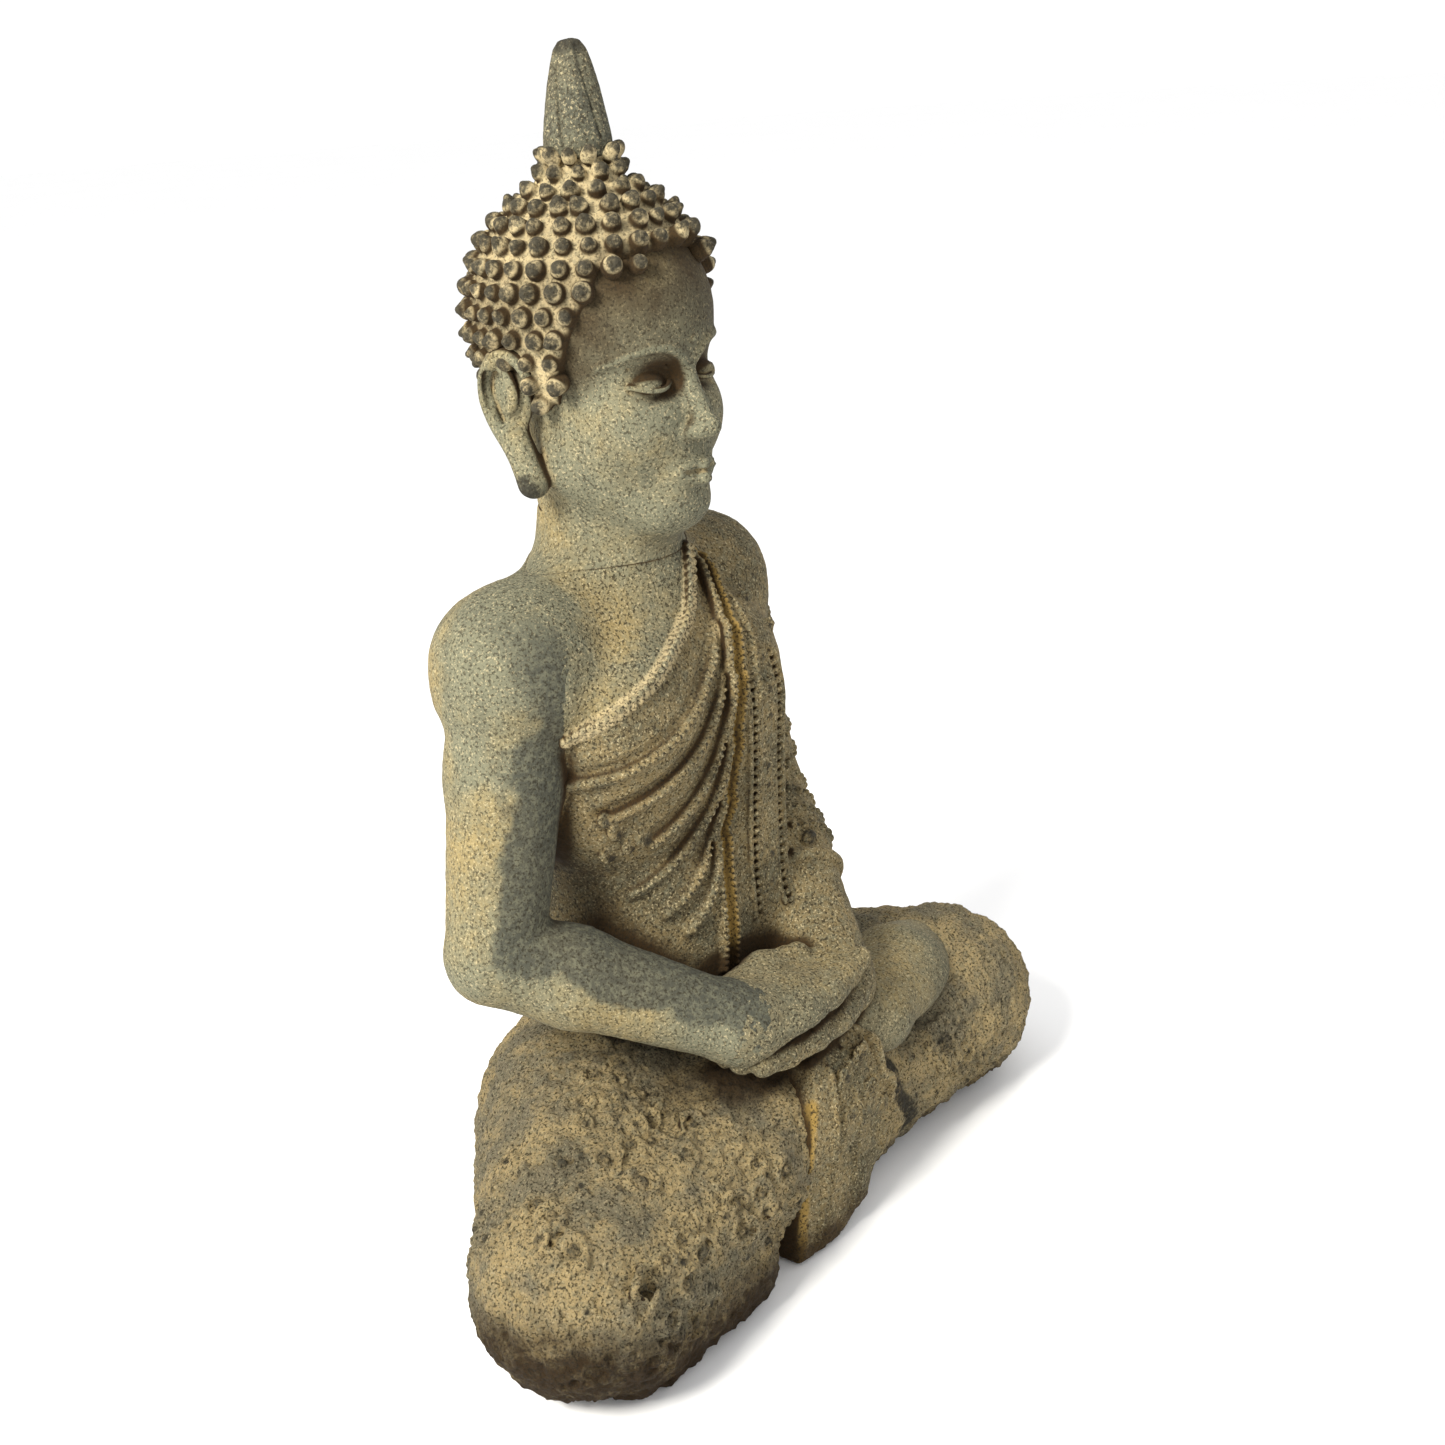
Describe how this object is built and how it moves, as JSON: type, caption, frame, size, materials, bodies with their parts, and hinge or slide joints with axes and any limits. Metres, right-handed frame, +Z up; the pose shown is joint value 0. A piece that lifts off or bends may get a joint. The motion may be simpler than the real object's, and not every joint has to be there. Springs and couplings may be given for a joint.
{
  "type": "seated buddha statue",
  "caption": "Free-standing seated meditation figure of cast stone, with folded legs, hands in the lap, a robe over one shoulder, a cap of curls and a bud finial.",
  "frame": {"origin": "on the ground under the middle of the statue", "axes": "+Z up, the statue faces -Y, its left side is +X"},
  "size_m": [0.3606, 0.1744, 0.5],
  "materials": {
    "cast_stone": "weathered, rough",
    "mortar": "matte",
    "dowel_steel": "plain bar"
  },
  "bodies": {
    "root": {"curl_cap": "cast_stone", "finial": "cast_stone", "finial_bed": "mortar", "finial_dowel": "dowel_steel", "head": "cast_stone", "instep": "cast_stone", "lap_base": "cast_stone", "left_arm": "cast_stone", "left_hand": "cast_stone", "neck_bed": "mortar", "neck_dowel": "dowel_steel", "right_arm": "cast_stone", "right_hand": "cast_stone", "robe_apron": "cast_stone", "shoulder_dowel_left": "dowel_steel", "shoulder_dowel_right": "dowel_steel", "torso": "cast_stone", "waist_bed": "mortar", "waist_dowel_left": "dowel_steel", "waist_dowel_right": "dowel_steel"}
  },
  "joints": []
}
